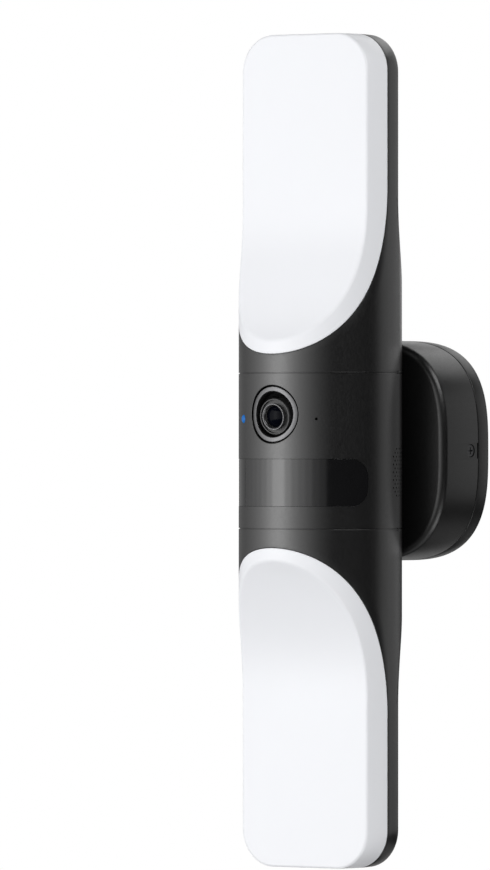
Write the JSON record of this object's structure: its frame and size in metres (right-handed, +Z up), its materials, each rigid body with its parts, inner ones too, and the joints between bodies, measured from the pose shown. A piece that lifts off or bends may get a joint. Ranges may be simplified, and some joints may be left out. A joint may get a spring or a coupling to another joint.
{
  "type": "floodlight security camera",
  "caption": "Wall-mounted security camera in an upright tube, with a scooped white light panel above and below it, on a rounded-square wall base.",
  "frame": {"origin": "centre of the wall plate's back face, which lies on the wall", "axes": "+Y into the wall, so the front faces -Y; +Z up along the tube; +X to the right of someone facing the front"},
  "size_m": [0.1018, 0.0995, 0.382],
  "materials": {
    "shell_black": "satin, very fine moulded grain",
    "base_black": "satin, fine moulded grain",
    "panel_white": "smooth translucent diffuser plastic",
    "window_dark": "gloss",
    "bezel_grey": "satin, turned",
    "lens_black": "satin black",
    "lens_glass": "coated glass",
    "status_blue": "clear light pipe, lit blue",
    "steel": "zinc plated",
    "screw_black": "black oxide",
    "ground_green": "green paint",
    "aluminium": "as pressed",
    "board_green": "solder mask",
    "board_white": "white solder mask",
    "led_yellow": "phosphor",
    "rubber_black": "matt",
    "nylon_ivory": "natural nylon",
    "chip_black": "moulded epoxy",
    "part_grey": "matt",
    "winding": "tape over windings",
    "capacitor_blue": "printed sleeve, unmarked",
    "filter_glass": "coated glass",
    "paper_black": "pressed paper"
  },
  "bodies": {
    "wall_mount": {"wall_plate": "base_black", "wall_gasket": "rubber_black", "ground_screw": "ground_green", "terminal_block": "nylon_ivory", "terminal_screws": "steel"},
    "fixture": {"base_housing": "base_black", "base_seal": "rubber_black", "driver_board": "board_green", "driver_board_screws": "steel", "transformer": "winding", "capacitors": "capacitor_blue", "cable_grommet": "rubber_black", "power_cable": "rubber_black", "saddle_screws": "steel", "lock_nut": "steel", "camera_shell": "shell_black", "chassis": "part_grey", "chassis_screws": "steel", "main_board": "board_green", "processor": "chip_black", "heat_sink": "aluminium", "wifi_module": "steel", "connectors": "nylon_ivory", "antennas": "board_green", "lens_bezel": "bezel_grey", "lens_funnel": "lens_black", "lens_barrel": "lens_black", "front_lens": "lens_glass", "inner_lenses": "lens_glass", "lens_mount": "chip_black", "ir_cut_frame": "chip_black", "image_sensor": "chip_black", "sensor_board": "board_green", "sensor_posts": "steel", "motion_window": "window_dark", "motion_sensors": "steel", "motion_bracket": "board_green", "status_light": "status_blue", "microphone": "rubber_black", "speaker_frame": "steel", "sync_switch": "chip_black", "light_wires": "rubber_black", "upper_housing": "shell_black", "upper_diffuser": "panel_white", "upper_diffuser_seal": "rubber_black", "upper_heat_spreader": "aluminium", "upper_led_board": "board_white", "upper_leds": "led_yellow", "upper_housing_screws": "screw_black", "lower_housing": "shell_black", "lower_diffuser": "panel_white", "lower_diffuser_seal": "rubber_black", "lower_heat_spreader": "aluminium", "lower_led_board": "board_white", "lower_leds": "led_yellow", "lower_housing_screws": "screw_black"},
    "lock_screw": {"lock_screw": "screw_black"},
    "sync_button": {"sync_button": "part_grey"},
    "ir_cut_filter": {"ir_cut_filter": "filter_glass"},
    "speaker_cone": {"speaker_cone": "paper_black"}
  },
  "joints": [
    {"name": "fixture_release", "type": "slide", "parent": "wall_mount", "child": "fixture", "axis": [0, -1, 0], "range_m": [0, 0.06]},
    {"name": "lock_screw_turn", "type": "hinge", "parent": "fixture", "child": "lock_screw", "pos_m": [0.048, -0.0142, 0], "axis": [1, 0, 0], "range_deg": [0, 765]},
    {"name": "sync_button_press", "type": "slide", "parent": "fixture", "child": "sync_button", "axis": [0.9205, -0.3907, 0], "range_m": [0, 0.0006], "stiffness_N_per_m": 500, "springref_m": -0.001},
    {"name": "ir_cut_slide", "type": "slide", "parent": "fixture", "child": "ir_cut_filter", "axis": [1, 0, 0], "range_m": [0, 0.008]},
    {"name": "speaker_cone_travel", "type": "slide", "parent": "fixture", "child": "speaker_cone", "axis": [0.9205, 0.3907, 0], "range_m": [-0.0003, 0.0003], "stiffness_N_per_m": 800}
  ]
}
